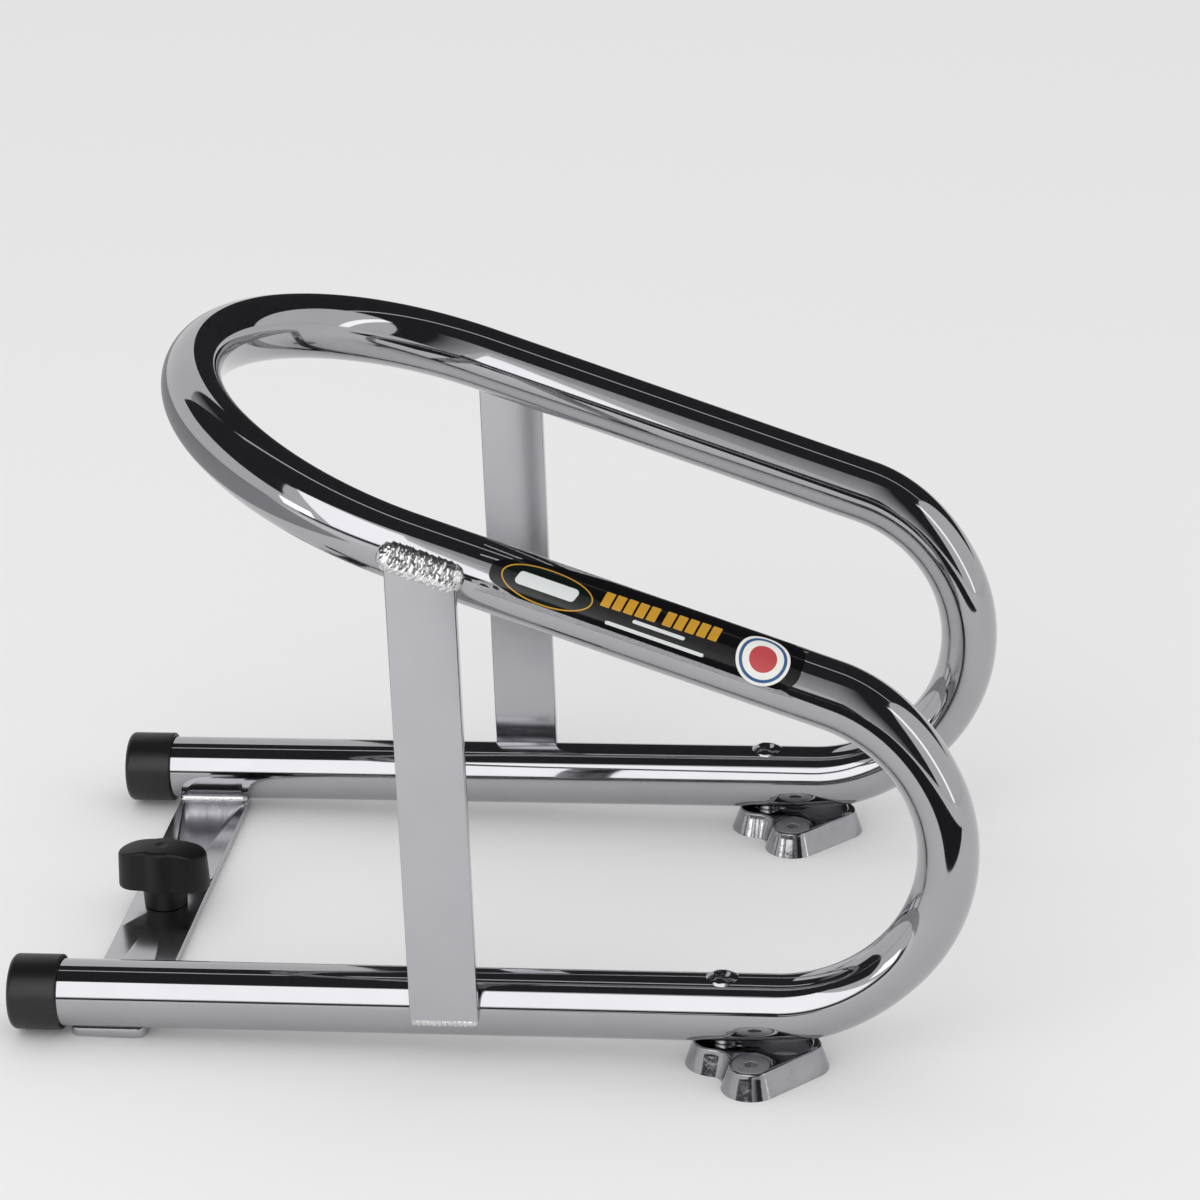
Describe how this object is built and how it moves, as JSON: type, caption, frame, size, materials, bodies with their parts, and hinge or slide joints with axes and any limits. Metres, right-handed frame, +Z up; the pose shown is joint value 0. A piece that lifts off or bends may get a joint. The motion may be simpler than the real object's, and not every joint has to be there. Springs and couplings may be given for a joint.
{
  "type": "motorcycle wheel chock",
  "caption": "Chromed bent-tube wheel chock with side braces, a clamp knob on a crossbar, rubber end caps and keyhole floor brackets.",
  "frame": {"origin": "on the floor, under the middle of the chock", "axes": "+X along the rails towards the side where the wheel rolls in, +Y to the left seen from the knob's end, +Z up"},
  "size_m": [0.316, 0.2304, 0.2153],
  "materials": {
    "tube_chrome": "mirror chrome plate on bent steel tube",
    "bar_chrome": "chrome plate on flat steel bar",
    "weld_chrome": "rippled weld bead under chrome plate",
    "bracket_plate": "dark bright plate on a drafted casting",
    "screw_steel": "dull zinc on countersunk screws",
    "pin_steel": "bright turned steel",
    "cap_rubber": "satin black moulded rubber",
    "knob_plastic": "satin black moulded plastic"
  },
  "bodies": {
    "frame": {"frame_tube": "tube_chrome", "side_brace_right": "bar_chrome", "side_brace_left": "bar_chrome", "crossbar": "bar_chrome", "end_cap_right": "cap_rubber", "anchor_pin_right": "pin_steel", "pin_weld_right": "weld_chrome", "brace_top_weld_right": "weld_chrome", "brace_low_weld_right": "weld_chrome", "crossbar_weld_right": "weld_chrome", "end_cap_left": "cap_rubber", "anchor_pin_left": "pin_steel", "pin_weld_left": "weld_chrome", "brace_top_weld_left": "weld_chrome", "brace_low_weld_left": "weld_chrome", "crossbar_weld_left": "weld_chrome"},
    "knob": {"clamp_knob": "knob_plastic", "knob_stud": "pin_steel"},
    "floor_bracket_right": {"floor_bracket_right": "bracket_plate", "floor_screw_right_outer": "screw_steel", "floor_screw_right_inner": "screw_steel"},
    "floor_bracket_left": {"floor_bracket_left": "bracket_plate", "floor_screw_left_outer": "screw_steel", "floor_screw_left_inner": "screw_steel"}
  },
  "joints": [
    {"name": "knob_turn", "type": "hinge", "parent": "frame", "child": "knob", "pos_m": [-0.126, 0, 0.00345], "axis": [-0.0282, 0, 0.9996], "continuous": true},
    {"name": "bracket_slide_right", "type": "slide", "parent": "frame", "child": "floor_bracket_right", "axis": [0.9996, 0, 0.0282], "range_m": [-0.0199, 0]},
    {"name": "bracket_slide_left", "type": "slide", "parent": "frame", "child": "floor_bracket_left", "axis": [0.9996, 0, 0.0282], "range_m": [-0.0199, 0]}
  ],
  "couplings": [
    {"joint": "bracket_slide_left", "follows": "bracket_slide_right", "ratio": 1}
  ]
}
